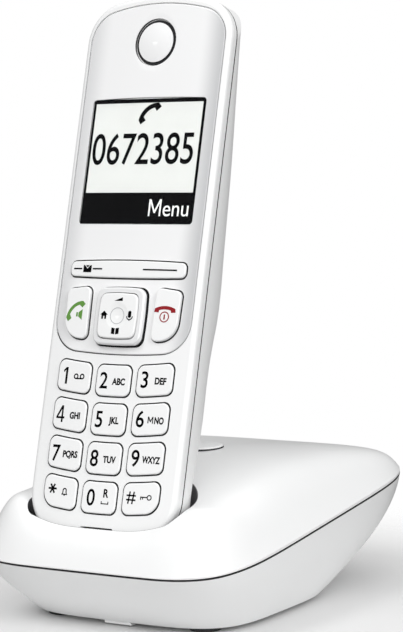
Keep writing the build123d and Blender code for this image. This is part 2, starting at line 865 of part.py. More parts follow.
# ---------------------------------------------------------------- write everything
def write_handset():
    solid = handset_block(0)
    inside = handset_block(side_wall)
    door_skin = handset_block(1.4)
    save_handset("handset_front_shell", make_front_shell(solid, inside))
    save_handset("handset_back_shell", make_back_shell(solid, inside))
    save_handset("battery_door", make_battery_door(solid, door_skin))
    save_handset("handset_face_plate", make_face_plate())
    save_handset("earpiece_disc", make_earpiece_disc())
    save_handset("earpiece_grille", make_earpiece_grille())
    save_handset("display_window", make_display_window())
    save_handset("lcd_module", make_lcd_module())
    save_handset("lcd_frame", make_lcd_frame())
    for name, x, y, rounding in key_table():
        save_handset(f"key_{name}", make_key(x, y, rounding))
    save_handset("soft_key", make_soft_key())
    save_handset("call_key", make_call_key(-1))
    save_handset("end_key", make_call_key(1))
    save_handset("nav_ring", make_nav_ring())
    save_handset("nav_pad", make_nav_pad())
    left_cell, right_cell = make_batteries()
    save_handset("battery_left", left_cell)
    save_handset("battery_right", right_cell)
    save_handset("battery_contacts", make_battery_contacts())
    save_handset("handset_screws", make_handset_screws())
    save_handset("handset_circuit_board", make_handset_board())
    save_handset("keypad_dome_sheet", make_dome_sheet())
    save_handset("earpiece_speaker", make_ear_speaker())
    save_handset("ringer_speaker", make_ringer_speaker())
    save_handset("microphone", make_microphone())
    save_handset("handset_shield_can", make_handset_shield())
    save_handset("handset_antenna", make_handset_antenna())
    save_handset("handset_charge_contacts", make_handset_contacts())


def write_base():
    save("base_top_shell", make_top_shell())
    save("base_bottom_shell", make_bottom_shell())
    save("base_circuit_board", make_base_board())
    save("line_jack", make_jack(-9.0))
    save("power_jack", make_jack(9.0))
    save("jack_contacts", make_jack_contacts())
    save("paging_key", make_paging_key())
    save("paging_switch", make_paging_switch())
    save("base_shield_can", make_base_shield())
    save("base_capacitors", make_capacitors())
    save("base_antennas", make_base_antennas())
    save_handset("base_charge_contact_left", make_base_contact(-1))
    save_handset("base_charge_contact_right", make_base_contact(1))
    save("base_feet", make_feet())
    save("base_screws", make_base_screws())
    save("rating_label", make_label())


os.makedirs("parts", exist_ok=True)
write_handset()
write_base()
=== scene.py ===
import json
import math

import bmesh
import bpy
from mathutils import Matrix, Vector
from mathutils.bvhtree import BVHTree


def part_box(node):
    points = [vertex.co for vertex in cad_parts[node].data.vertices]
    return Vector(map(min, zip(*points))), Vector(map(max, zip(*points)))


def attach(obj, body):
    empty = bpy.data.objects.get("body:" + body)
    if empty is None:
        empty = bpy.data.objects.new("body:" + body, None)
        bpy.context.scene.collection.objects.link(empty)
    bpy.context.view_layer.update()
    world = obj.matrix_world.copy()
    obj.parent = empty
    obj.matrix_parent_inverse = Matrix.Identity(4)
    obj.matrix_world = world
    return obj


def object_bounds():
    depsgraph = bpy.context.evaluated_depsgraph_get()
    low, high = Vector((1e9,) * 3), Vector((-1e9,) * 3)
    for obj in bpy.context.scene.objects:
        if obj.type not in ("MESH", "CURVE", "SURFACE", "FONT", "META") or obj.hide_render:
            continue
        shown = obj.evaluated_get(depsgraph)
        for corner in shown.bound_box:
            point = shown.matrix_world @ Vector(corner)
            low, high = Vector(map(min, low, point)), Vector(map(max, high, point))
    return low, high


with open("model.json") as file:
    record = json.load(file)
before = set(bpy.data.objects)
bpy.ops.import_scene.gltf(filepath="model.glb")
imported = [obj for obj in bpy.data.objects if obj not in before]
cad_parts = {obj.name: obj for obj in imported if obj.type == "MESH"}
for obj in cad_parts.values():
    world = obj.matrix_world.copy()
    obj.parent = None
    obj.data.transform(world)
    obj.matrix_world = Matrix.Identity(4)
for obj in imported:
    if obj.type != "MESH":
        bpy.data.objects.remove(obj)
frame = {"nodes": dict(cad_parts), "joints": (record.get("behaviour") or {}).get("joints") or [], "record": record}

cad_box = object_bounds()
nodes = frame["nodes"]
joints = {joint["name"]: joint for joint in frame["joints"]}
slot_of = {row["node"]: row["material_slot"] for row in frame["record"]["subparts"]}
MM = 0.001

# ---------------------------------------------------------------- the handset's own directions
RIGHT = Vector((1, 0, 0))
ALONG = Vector(joints["handset_lift"]["axis"]).normalized()
OUT = RIGHT.cross(ALONG)


def handset_origin():
    """Lower end of the handset at the height of its face."""
    points = [v.co for v in nodes["handset_front_shell"].data.vertices]
    low = min(p.dot(ALONG) for p in points)
    top = max(p.dot(OUT) for p in points)
    return ALONG * low + OUT * top


ORIGIN = handset_origin()


def local_box(name):
    """Sides of a handset node in millimetres: across, along and out of the face."""
    sides = []
    for axis in (RIGHT, ALONG, OUT):
        reach = [(v.co - ORIGIN).dot(axis) / MM for v in nodes[name].data.vertices]
        sides.append((min(reach), max(reach)))
    return sides


def middle(name):
    """Middle of a handset node on the face, in millimetres."""
    across, along, _ = local_box(name)
    return (across[0] + across[1]) / 2, (along[0] + along[1]) / 2


BACK_RIM = local_box("handset_back_shell")[2][1]
HALF_WIDTH = local_box("handset_back_shell")[0][1] * MM


# ---------------------------------------------------------------- materials
UNEVEN_GLOSS = 0.015
BUMP_STRENGTH = 0.35


def add(tree, kind, **values):
    """New shader node with some of its properties set."""
    node = tree.nodes.new(kind)
    for key, value in values.items():
        setattr(node, key, value)
    return node


def noise(tree, scale, detail):
    """Noise over the object's own coordinates, in waves per metre."""
    place = add(tree, "ShaderNodeTexCoord")
    texture = add(tree, "ShaderNodeTexNoise")
    texture.inputs["Scale"].default_value = scale
    texture.inputs["Detail"].default_value = detail
    tree.links.new(place.outputs["Object"], texture.inputs["Vector"])
    return texture.outputs["Fac"]


def ramp(tree, value, low, high):
    """Colour that runs from low to high as value goes from 0.2 to 0.8."""
    band = add(tree, "ShaderNodeValToRGB")
    band.color_ramp.elements[0].position = 0.2
    band.color_ramp.elements[1].position = 0.8
    band.color_ramp.elements[0].color = (*low, 1)
    band.color_ramp.elements[1].color = (*high, 1)
    tree.links.new(value, band.inputs["Fac"])
    return band.outputs["Color"]


def span(tree, value, low, high):
    """Value from 0 to 1, stretched to run from low to high."""
    reach = add(tree, "ShaderNodeMapRange")
    reach.inputs["To Min"].default_value = low
    reach.inputs["To Max"].default_value = high
    tree.links.new(value, reach.inputs["Value"])
    return reach.outputs["Result"]


def shaded(name, colour, roughness, drift=0.02, cloud=70.0, grain=1800.0, depth=0.004, **fixed):
    """Principled material with cloudy tone, uneven gloss and a fine moulded grain.

    drift is the share by which the colour varies, cloud and grain are in waves per metre, and depth is
    the grain's height in millimetres. What is left sets the shader's own sockets.
    """
    material = bpy.data.materials.new(name)
    material.use_nodes = True
    tree = material.node_tree
    shader = tree.nodes["Principled BSDF"]
    for socket, value in fixed.items():
        shader.inputs[socket.replace("_", " ")].default_value = value
    clouds = noise(tree, cloud, 1.0)
    low = [max(0.0, c * (1 - drift)) for c in colour]
    high = [min(1.0, c * (1 + drift)) for c in colour]
    tree.links.new(ramp(tree, clouds, low, high), shader.inputs["Base Color"])
    level = span(tree, clouds, max(0.02, roughness - UNEVEN_GLOSS), roughness + UNEVEN_GLOSS)
    tree.links.new(level, shader.inputs["Roughness"])
    bump = add(tree, "ShaderNodeBump")
    bump.inputs["Strength"].default_value = BUMP_STRENGTH
    bump.inputs["Distance"].default_value = depth * MM
    tree.links.new(noise(tree, grain, 2.0), bump.inputs["Height"])
    tree.links.new(bump.outputs["Normal"], shader.inputs["Normal"])
    return material


def clear(name, tint):
    """Clear moulded window with faint ripples and an anti-glare coat."""
    return shaded(name, tint, 0.05, drift=0.01, cloud=40.0, depth=0.001, Transmission_Weight=1.0,
                  IOR=1.2, Specular_IOR_Level=0.02)


def smooth_step(tree, value, start, end):
    """Smooth 0 to 1 as a value runs from start to end, in either direction."""
    mask = add(tree, "ShaderNodeMapRange", interpolation_type="SMOOTHSTEP")
    mask.inputs["From Min"].default_value = min(start, end)
    mask.inputs["From Max"].default_value = max(start, end)
    mask.inputs["To Min"].default_value = 0.0 if start < end else 1.0
    mask.inputs["To Max"].default_value = 1.0 if start < end else 0.0
    tree.links.new(value, mask.inputs["Value"])
    return mask.outputs["Result"]


def maths(tree, operation, first, second=0.0):
    """Result of a maths node on two values, each of them a socket or a number."""
    node = add(tree, "ShaderNodeMath", operation=operation)
    for socket, value in zip(node.inputs, (first, second)):
        if isinstance(value, float):
            socket.default_value = value
        else:
            tree.links.new(value, socket)
    return node.outputs["Value"]


def times(tree, first, second):
    return maths(tree, "MULTIPLY", first, second)


def plus(tree, first, second):
    return maths(tree, "ADD", first, second)


def minus(tree, first, second):
    return maths(tree, "SUBTRACT", first, second)


def place_along(tree, axis):
    """Where a point of an object lies along a direction, in metres."""
    place = add(tree, "ShaderNodeTexCoord")
    product = add(tree, "ShaderNodeVectorMath", operation="DOT_PRODUCT")
    product.inputs[1].default_value = axis
    tree.links.new(place.outputs["Object"], product.inputs[0])
    return product.outputs["Value"]


def distance_along(tree, axis):
    """Distance of a point from the handset's origin along one of its directions, in metres."""
    return minus(tree, place_along(tree, axis), ORIGIN.dot(axis))


def blend_colour(material, mask, colour):
    """Let another colour take over where the mask is 1."""
    tree = material.node_tree
    socket = tree.nodes["Principled BSDF"].inputs["Base Color"]
    mix = add(tree, "ShaderNodeMix", data_type="RGBA")
    tree.links.new(socket.links[0].from_socket, mix.inputs["A"])
    mix.inputs["B"].default_value = (*colour, 1)
    tree.links.new(mask, mix.inputs["Factor"])
    tree.links.new(mix.outputs["Result"], socket)


# ---------------------------------------------------------------- painted shade in gaps, seams and the cradle
# Colours of painted shade: unlit gaps and seams, and the cradle's deep hollow.
GAP_SHADE = (0.03, 0.03, 0.032)
POCKET_SHADE = (0.16, 0.16, 0.165)
BASE_SEAM_SLOPE = math.radians(7.1)
SIDE_SHARE = 0.98

# Millimetres, where the shading functions take millimetres too.
GAP_BLUR = 0.12
REGION_BLUR = 0.1
SEAM_BELOW_RIM = 0.06
SEAM_BLUR = 0.03

# Metres.
CROWN_RADIUS = 0.331
BASE_SEAM_WIDTH = 0.00018
BASE_SEAM_BLUR = 0.00008
PAGING_RIM = 0.0007
PAGING_BLUR = 0.0001
POCKET_CLEARANCE = 0.0013
POCKET_HALF_WIDTH = HALF_WIDTH + POCKET_CLEARANCE
POCKET_SHOULDER = (BACK_RIM + 0.2) * MM
POCKET_DEPTH = 0.0196 + POCKET_CLEARANCE
POCKET_FRONT = 0.00035
POCKET_CORNER = 0.004
CORNER_SLACK = 0.00004

# Shares of the cradle's half width or of the square of its reach.
WALL_SLACK = 0.01
WALL_BLUR = 0.004
BULGE = 0.06
BULGE_START = -0.55
BULGE_END = -0.75


def height_over_face(tree):
    """Height over the gently curved face, which is negative below it."""
    out = distance_along(tree, OUT)
    across = distance_along(tree, RIGHT)
    bow = maths(tree, "DIVIDE", times(tree, across, across), 2 * CROWN_RADIUS)
    return plus(tree, out, bow)


def shade_gaps(material, reach_x, along, level):
    """Dark unlit walls below a level, inside a region of the face, in millimetres."""
    tree = material.node_tree
    low, high = along
    deep = smooth_step(tree, height_over_face(tree), level * MM, (level - GAP_BLUR) * MM)
    across = maths(tree, "ABSOLUTE", distance_along(tree, RIGHT))
    length = distance_along(tree, ALONG)
    inside = smooth_step(tree, across, (reach_x + REGION_BLUR) * MM, reach_x * MM)
    upper = smooth_step(tree, length, (high + REGION_BLUR) * MM, high * MM)
    lower = smooth_step(tree, length, (low - REGION_BLUR) * MM, low * MM)
    region = times(tree, inside, times(tree, upper, lower))
    blend_colour(material, times(tree, deep, region), GAP_SHADE)


def shade_seam(material, level):
    """Painted shade in the joint line: the rim of the back casing, which lies in the gap between the casings, is
    darkened as the unlit gap.
    """
    tree = material.node_tree
    start = level - SEAM_BELOW_RIM
    mask = smooth_step(tree, distance_along(tree, OUT), start * MM, (start + SEAM_BLUR) * MM)
    blend_colour(material, mask, GAP_SHADE)


def round_wall(tree, across, out):
    """Square of the reach from the middle of the cradle, where 1 is an elliptical wall.

    The left end of the wall stands a little outside that ellipse, and the bulge allows for it.
    """
    behind = maths(tree, "MINIMUM", minus(tree, out, POCKET_SHOULDER), 0.0)
    behind = maths(tree, "DIVIDE", behind, POCKET_DEPTH)
    reach = plus(tree, times(tree, across, across), times(tree, behind, behind))
    bulge = times(tree, smooth_step(tree, across, BULGE_START, BULGE_END), BULGE)
    return minus(tree, reach, bulge)


def front_corners(tree, out):
    """Distance past the centres of the cradle's rounded front corners, in metres."""
    beside = maths(tree, "ABSOLUTE", distance_along(tree, RIGHT))
    beside = maths(tree, "MAXIMUM", minus(tree, beside, POCKET_HALF_WIDTH - POCKET_CORNER), 0.0)
    before = maths(tree, "MAXIMUM", minus(tree, out, POCKET_FRONT - POCKET_CORNER), 0.0)
    return maths(tree, "SQRT", plus(tree, times(tree, beside, beside), times(tree, before, before)))


def shade_pocket(material):
    """Deep shade on the walls and floor of the cradle that holds the handset."""
    tree = material.node_tree
    out = distance_along(tree, OUT)
    across = maths(tree, "DIVIDE", distance_along(tree, RIGHT), POCKET_HALF_WIDTH)
    reach = round_wall(tree, across, out)
    edge = 1.0 + WALL_SLACK
    behind = smooth_step(tree, reach, edge + WALL_BLUR, edge)
    corner = POCKET_CORNER + CORNER_SLACK
    before = smooth_step(tree, front_corners(tree, out), corner + CORNER_SLACK, corner)
    blend_colour(material, times(tree, before, behind), POCKET_SHADE)


def shade_below(material, level):
    """Painted shade on the sides of the paging key below a height above the floor, in metres."""
    tree = material.node_tree
    place = add(tree, "ShaderNodeTexCoord")
    parts = add(tree, "ShaderNodeSeparateXYZ")
    tree.links.new(place.outputs["Object"], parts.inputs["Vector"])
    mask = smooth_step(tree, parts.outputs["Z"], level, level - PAGING_BLUR)
    blend_colour(material, mask, GAP_SHADE)


def shade_base_seam(material):
    """Painted shade in the joint line just under the base's sloping seam, which is found at the hull's right side.
    """
    rim_up = Vector((0, -math.sin(BASE_SEAM_SLOPE), math.cos(BASE_SEAM_SLOPE)))
    points = [v.co for v in nodes["base_bottom_shell"].data.vertices]
    side = max(p.x for p in points) * SIDE_SHARE
    start = max(p.dot(rim_up) for p in points if p.x > side) - BASE_SEAM_WIDTH
    tree = material.node_tree
    mask = smooth_step(tree, place_along(tree, rim_up), start, start + BASE_SEAM_BLUR)
    blend_colour(material, mask, GAP_SHADE)


def shade_plate_sides(material, colour, start, end):
    """Painted shade: the face plate turns greyer towards both long edges, more on the right, in millimetres."""
    tree = material.node_tree
    across = distance_along(tree, RIGHT)
    for side, strength in ((-1, 0.55), (1, 1.0)):
        fade = smooth_step(tree, across, side * start * MM, side * end * MM)
        blend_colour(material, times(tree, fade, strength), colour)


# ---------------------------------------------------------------- the materials
WHITE = (0.9, 0.905, 0.905)
BRIGHT_WHITE = (0.945, 0.95, 0.95)
BACK_WHITE = (0.95, 0.955, 0.955)
CASING = {"roughness": 0.3, "drift": 0.004, "Coat_Weight": 0.2, "Coat_Roughness": 0.2}
BACK_CASING = {"roughness": 0.42, "drift": 0.004, "grain": 2600.0, "depth": 0.02}

MATERIALS = {
    "casing_white": shaded("casing_white", WHITE, **CASING),
    "casing_back": shaded("casing_back", BACK_WHITE, **BACK_CASING),
    "face_silver": shaded("face_silver", (0.95, 0.952, 0.955), 0.25, drift=0.004, Coat_Weight=0.3,
                          Coat_Roughness=0.12),
    "key_white": shaded("key_white", BRIGHT_WHITE, 0.38, drift=0.004, grain=2600.0, depth=0.006),
    "ring_pearl": shaded("ring_pearl", (0.9, 0.905, 0.91), 0.2, drift=0.006, Metallic=0.12),
    "window_clear": clear("window_clear", (0.98, 0.985, 0.98)),
    "display_grey": shaded("display_grey", (0.62, 0.65, 0.63), 0.5, drift=0.02),
    "frame_black": shaded("frame_black", (0.012, 0.012, 0.014), 0.4, drift=0.2),
    "dark_plastic": shaded("dark_plastic", (0.02, 0.02, 0.022), 0.5, drift=0.15, depth=0.01,
                           Specular_IOR_Level=0.2),
    "grey_plastic": shaded("grey_plastic", (0.36, 0.37, 0.38), 0.42, drift=0.04, depth=0.01),
    "board_green": shaded("board_green", (0.03, 0.16, 0.08), 0.35, drift=0.25, cloud=400.0),
    "dome_film": shaded("dome_film", (0.74, 0.72, 0.62), 0.35, drift=0.04),
    "steel": shaded("steel", (0.66, 0.66, 0.67), 0.3, drift=0.06, cloud=600.0, Metallic=1.0),
    "contact_gold": shaded("contact_gold", (0.85, 0.66, 0.32), 0.25, drift=0.06, cloud=500.0,
                           Metallic=1.0),
    "cell_green": shaded("cell_green", (0.05, 0.3, 0.13), 0.25, drift=0.1),
    "can_blue": shaded("can_blue", (0.03, 0.05, 0.16), 0.3, drift=0.1),
    "foot_rubber": shaded("foot_rubber", (0.03, 0.03, 0.032), 0.8, drift=0.2, grain=1400.0,
                          depth=0.03),
    "label_grey": shaded("label_grey", (0.72, 0.73, 0.74), 0.5, drift=0.02),
}
INK = shaded("ink_black", (0.003, 0.003, 0.0035), 0.7, drift=0.15, Specular_IOR_Level=0.0)
GREEN_INK = shaded("ink_green", (0.13, 0.31, 0.06), 0.5, drift=0.05, Specular_IOR_Level=0.2)
RED_INK = shaded("ink_red", (0.3, 0.012, 0.018), 0.5, drift=0.05, Specular_IOR_Level=0.2)
GREY_INK = shaded("ink_grey", (0.5, 0.51, 0.52), 0.45, drift=0.05)
FILM = shaded("display_film", (0.66, 0.672, 0.655), 0.6, drift=0.01, Specular_IOR_Level=0.1)
WHITE_PIXELS = shaded("display_white", (0.9, 0.91, 0.9), 0.6, drift=0.01, Specular_IOR_Level=0.1)

SHELL = shaded("casing_front", BRIGHT_WHITE, **CASING)
BACK = shaded("casing_rear", BACK_WHITE, **BACK_CASING)
CRADLE = shaded("casing_cradle", WHITE, **CASING)
PAGING = shaded("paging_white", WHITE, 0.35, drift=0.004)
HULL = shaded("casing_hull", WHITE, **CASING)
DISC = shaded("disc_pearl", (0.93, 0.932, 0.935), 0.4, drift=0.004)

# Painted shade: in the gaps round the keys, the navigation ring and the earpiece, in the seams of handset and
# base, on the paging key's sides and in the cradle.
shade_gaps(SHELL, reach_x=22.0, along=(7.0, 86.0), level=-0.12)
shade_gaps(MATERIALS["key_white"], reach_x=21.0, along=(3.0, 100.0), level=0.12)
shade_gaps(MATERIALS["ring_pearl"], reach_x=9.5, along=(50.0, 72.0), level=0.7)
shade_gaps(MATERIALS["face_silver"], reach_x=7.5, along=(133.0, 149.0), level=-0.15)
shade_gaps(DISC, reach_x=7.5, along=(133.0, 149.0), level=-0.35)
shade_seam(BACK, BACK_RIM)
shade_base_seam(HULL)
shade_below(PAGING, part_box("paging_key")[1][2] - PAGING_RIM)
shade_pocket(CRADLE)
# Painted shade: the face plate greys towards its long edges, more on the right.
shade_plate_sides(MATERIALS["face_silver"], (0.6, 0.605, 0.615), start=15.0, end=22.9)


def dress(node, material):
    """Give a node one material in place of all it had."""
    node.data.materials.clear()
    node.data.materials.append(material)


for name, node in nodes.items():
    dress(node, MATERIALS[slot_of[name]])
dress(nodes["handset_front_shell"], SHELL)
dress(nodes["handset_back_shell"], BACK)
dress(nodes["base_top_shell"], CRADLE)
dress(nodes["paging_key"], PAGING)
dress(nodes["base_bottom_shell"], HULL)
dress(nodes["earpiece_disc"], DISC)


# ---------------------------------------------------------------- flat shapes, in millimetres
CAPITAL_SHARE = 0.729
HALF_THICK = 0.5


def curve_mesh(curve):
    """Mesh of a curve or text datablock. The object that held it is removed."""
    holder = bpy.data.objects.new("holder", curve)
    bpy.context.scene.collection.objects.link(holder)
    bpy.context.view_layer.update()
    graph = bpy.context.evaluated_depsgraph_get()
    mesh = bpy.data.meshes.new_from_object(holder.evaluated_get(graph))
    bpy.data.objects.remove(holder)
    return mesh


def filled(*loops):
    """Flat shape inside closed outlines; an outline inside another is a hole.

    Its thickness only tells the upper side from the lower one when it is laid on a surface.
    """
    curve = bpy.data.curves.new("outline", "CURVE")
    curve.dimensions = "2D"
    curve.fill_mode = "BOTH"
    curve.extrude = HALF_THICK
    for loop in loops:
        line = curve.splines.new("POLY")
        line.points.add(len(loop) - 1)
        for point, (x, y) in zip(line.points, loop):
            point.co = (x, y, 0, 1)
        line.use_cyclic_u = True
    return curve_mesh(curve)


def lettering(text, height, squeeze=1.0, weight=0.0):
    """Centred lettering with capitals of the given height, squeezed sideways."""
    curve = bpy.data.curves.new("text", "FONT")
    curve.body = text
    curve.size = height / CAPITAL_SHARE
    curve.align_x = "CENTER"
    curve.extrude = HALF_THICK
    curve.offset = weight
    curve.resolution_u = 6
    mesh = curve_mesh(curve)
    mesh.transform(Matrix.Diagonal((squeeze, 1, 1, 1)))
    return mesh


def four(height, width, stroke):
    """Digit 4 with an open counter."""
    stem = width * 0.62
    bar_low = height * 0.22
    bar_top = bar_low + stroke
    outer = [(stem, 0), (stem + stroke, 0), (stem + stroke, bar_low), (width, bar_low),
             (width, bar_top), (stem + stroke, bar_top), (stem + stroke, height),
             (stem - stroke * 0.15, height), (0, bar_top), (0, bar_low), (stem, bar_low)]
    counter = [(stroke * 1.1, bar_top), (stem, bar_top), (stem, height - stroke * 1.9)]
    return shifted(filled(outer, counter), -width / 2, 0)


def one(height, width, stroke):
    """Digit 1 with a short flag."""
    flag = height * 0.82
    shape = [(width - stroke, 0), (width, 0), (width, height), (width - stroke * 0.9, height),
             (0, flag), (stroke * 0.3, flag - stroke * 0.85), (width - stroke, height - stroke * 0.95)]
    return shifted(filled(shape), -width / 2, 0)


def capital_m(height, width, stroke):
    """Capital M, drawn from its left foot."""
    dip = height * 0.18
    return filled([(0, 0), (0, height), (stroke * 1.15, height), (width / 2, dip + stroke * 1.5),
                   (width - stroke * 1.15, height), (width, height), (width, 0), (width - stroke, 0),
                   (width - stroke, height - stroke * 1.9), (width / 2 + stroke * 0.4, dip),
                   (width / 2 - stroke * 0.4, dip), (stroke, height - stroke * 1.9), (stroke, 0)])


def shifted(mesh, x, y, turn=0.0):
    """The same shape turned by some degrees and moved."""
    mesh.transform(Matrix.Translation((x, y, 0)) @ Matrix.Rotation(math.radians(turn), 4, "Z"))
    return mesh


def arc(radius, start, end, steps, x=0.0, y=0.0):
    """Points along a circle, in degrees anticlockwise from the right."""
    turns = [math.radians(start + (end - start) * step / steps) for step in range(steps + 1)]
    return [(x + radius * math.cos(t), y + radius * math.sin(t)) for t in turns]


def ring(radius, width, x=0.0, y=0.0, start=0.0, end=360.0):
    """Round band, whole or part of the way round."""
    outer = arc(radius + width / 2, start, end, 32, x, y)
    inner = arc(radius - width / 2, start, end, 32, x, y)
    if end - start >= 360:
        return filled(outer[:-1], inner[:-1])
    return filled(outer + inner[::-1])


def bar(x0, y0, x1, y1, width):
    """Straight stroke, cut into short lengths so that it can follow a curved face."""
    run = Vector((x1 - x0, y1 - y0))
    side = Vector((-run.y, run.x)).normalized() * width / 2
    count = max(1, math.ceil(run.length / 1.5))
    middles = [Vector((x0, y0)) + run * step / count for step in range(count + 1)]
    return filled([tuple(p + side) for p in middles] + [tuple(p - side) for p in reversed(middles)])


def corners_of(x0, y0, x1, y1):
    return [(x0, y0), (x1, y0), (x1, y1), (x0, y1)]


def frame_shape(x0, y0, x1, y1, width):
    """Rectangular band inside the given sides."""
    inner = corners_of(x0 + width, y0 + width, x1 - width, y1 - width)
    return filled(corners_of(x0, y0, x1, y1), inner)


def receiver(length, thickness, bend, lobe):
    """Telephone receiver: a bowed grip with an ear and a mouth lobe, hollow side down."""
    radius = (length / 2) ** 2 / (2 * bend) + bend / 2
    reach = math.degrees(math.asin(length / 2 / radius))
    drop = radius - bend
    outer = arc(radius, 90 + reach, 90 - reach, 14, 0, -drop)
    inner = arc(radius - thickness, 90 - reach * 0.66, 90 + reach * 0.66, 10, 0, -drop)
    tip = length / 2
    width = thickness * 1.5
    right = [(tip + 0.15, -lobe), (tip + 0.15 - width, -lobe - 0.1)]
    left = [(width - tip - 0.15, -lobe - 0.1), (-tip - 0.15, -lobe)]
    return filled(outer + right + inner + left)


def stretched(mesh, width):
    """The same shape made a given width, about its own middle."""
    reach = [v.co.x for v in mesh.vertices]
    middle_x = (min(reach) + max(reach)) / 2
    scale = width / (max(reach) - min(reach))
    mesh.transform(Matrix.Diagonal((scale, 1, 1, 1)) @ Matrix.Translation((-middle_x, 0, 0)))
    return mesh


# ---------------------------------------------------------------- laying shapes, in millimetres
MERGE_DISTANCE = 0.0005
RAY_START = 8
FLAT_DEPTH = 0.015


def surface_of(*names):
    """Search tree over the surfaces of some nodes."""
    points = []
    faces = []
    for name in names:
        mesh = nodes[name].data
        start = len(points)
        points += [v.co.copy() for v in mesh.vertices]
        faces += [[start + i for i in face.vertices] for face in mesh.polygons]
    return BVHTree.FromPolygons(points, faces)


def gathered(shapes):
    """One mesh to edit, made of flat shapes."""
    made = bmesh.new()
    for shape in shapes:
        made.from_mesh(shape)
    bmesh.ops.remove_doubles(made, verts=made.verts, dist=MERGE_DISTANCE)
    return made


def over_face(x, y, height):
    """Point over the handset's face, from millimetres across, along and out of it."""
    return ORIGIN + (RIGHT * x + ALONG * y + OUT * height) * MM


def lay(name, body, shapes, tree, material, lift=0.03, depth=0.09):
    """Thin print that follows the surface under it, as one piece on a body.

    lift is how far it stands over the surface and depth how thick it is, in millimetres.
    """
    made = gathered(shapes)
    for vertex in made.verts:
        hit = tree.ray_cast(over_face(vertex.co.x, vertex.co.y, RAY_START), -OUT)[0]
        offset = lift if vertex.co.z > 0 else lift - depth
        vertex.co = hit + OUT * offset * MM
    return finish_piece(name, body, made, material)


def place_flat(name, shapes, height, material):
    """Thin flat layer at one height over the handset's face."""
    made = gathered(shapes)
    for vertex in made.verts:
        level = height if vertex.co.z > 0 else height - FLAT_DEPTH
        vertex.co = over_face(vertex.co.x, vertex.co.y, level)
    return finish_piece(name, "handset", made, material)


def finish_piece(name, body, made, material):
    """Object made of an edited mesh, which rides on a body."""
    bmesh.ops.recalc_face_normals(made, faces=made.faces)
    mesh = bpy.data.meshes.new(name)
    made.to_mesh(mesh)
    made.free()
    piece = bpy.data.objects.new(name, mesh)
    bpy.context.scene.collection.objects.link(piece)
    mesh.materials.append(material)
    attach(piece, body)
    return piece


# ---------------------------------------------------------------- number keys
# Places are in millimetres from a key's middle.
DIGIT_HEIGHT = 4.7
LETTER_HEIGHT = 1.85
DIGIT_WEIGHT = 0.07
LETTER_WEIGHT = 0.1
DIGIT_SQUEEZE = 0.9
LETTER_SQUEEZE = 0.84
LONGEST_WORD = 5.7
DIGIT_X = -3.05
DIGIT_Y = 0.1 - DIGIT_HEIGHT / 2
LETTER_X = 2.0
LETTER_Y = -1.1
LETTERS = {"2": "ABC", "3": "DEF", "4": "GHI", "5": "JKL", "6": "MNO", "7": "PQRS", "8": "TUV",
           "9": "WXYZ"}


def loops_icon():
    """Two rings joined by a line underneath."""
    rings = [ring(0.62, 0.38, side * 1.05, 0.15) for side in (-1, 1)]
    return rings + [bar(-1.05, -0.47, 1.05, -0.47, 0.38)]


def bell_icon():
    """Hollow bell with its clapper."""
    rim = [(-1.05, -0.75), (1.05, -0.75), (0.72, -0.1)]
    dome = arc(0.72, 0, 180, 10, 0, 0.45)
    inner = [(-0.6, -0.45), (0.6, -0.45), (0.38, -0.1), *arc(0.38, 0, 180, 10, 0, 0.45), (-0.38, -0.1)]
    return [filled(rim + dome + [(-0.72, -0.1)], inner), filled(arc(0.3, 180, 360, 8, 0, -0.72))]


def lock_icon():
    """Key with a round bow."""
    return [ring(0.62, 0.3, 1.15, 0), bar(-1.7, 0, 0.55, 0, 0.32), bar(-1.5, 0, -1.5, -0.75, 0.3),
            bar(-0.9, 0, -0.9, -0.6, 0.3)]


def recall_icon():
    """Letter R over a space bracket."""
    tray = [(-1.25, -0.65), (1.25, -0.65), (1.25, 0.15), (0.97, 0.15), (0.97, -0.37), (-0.97, -0.37),
            (-0.97, 0.15), (-1.25, 0.15)]
    letter = lettering("R", 2.3, 0.85, LETTER_WEIGHT)
    return [shifted(letter, 0, 0.75), shifted(filled(tray), 0, -0.55)]


def star_mark():
    return [shifted(bar(-1.45, 0, 1.45, 0, 0.54), 0, 0, turn) for turn in (0, 60, 120)]


def hash_mark():
    strokes = [bar(-0.65 + x, -1.7, -0.25 + x, 1.7, 0.44) for x in (-0.2, 1.1)]
    return strokes + [bar(-1.5, y, 1.5, y, 0.44) for y in (-0.6, 0.6)]


def moved(shapes, x, y):
    return [shifted(shape, x, y) for shape in shapes]


def digit_shape(name):
    """Digit of a key; 1 and 4 are drawn from given outlines."""
    if name == "1":
        return one(DIGIT_HEIGHT, 1.55, 0.72)
    if name == "4":
        return four(DIGIT_HEIGHT, 2.85, 0.55)
    return lettering(name, DIGIT_HEIGHT, DIGIT_SQUEEZE, DIGIT_WEIGHT)


def word_shapes(name):
    """Letters of a key, about their own middle."""
    if name == "6":
        rest = lettering("NO", LETTER_HEIGHT, LETTER_SQUEEZE, LETTER_WEIGHT)
        first = capital_m(LETTER_HEIGHT, 1.75, 0.3)
        return [shifted(first, -2.55, 0), shifted(stretched(rest, 2.95), 1.05, 0)]
    word = lettering(LETTERS[name], LETTER_HEIGHT, LETTER_SQUEEZE, LETTER_WEIGHT)
    return [stretched(word, LONGEST_WORD) if name == "9" else word]


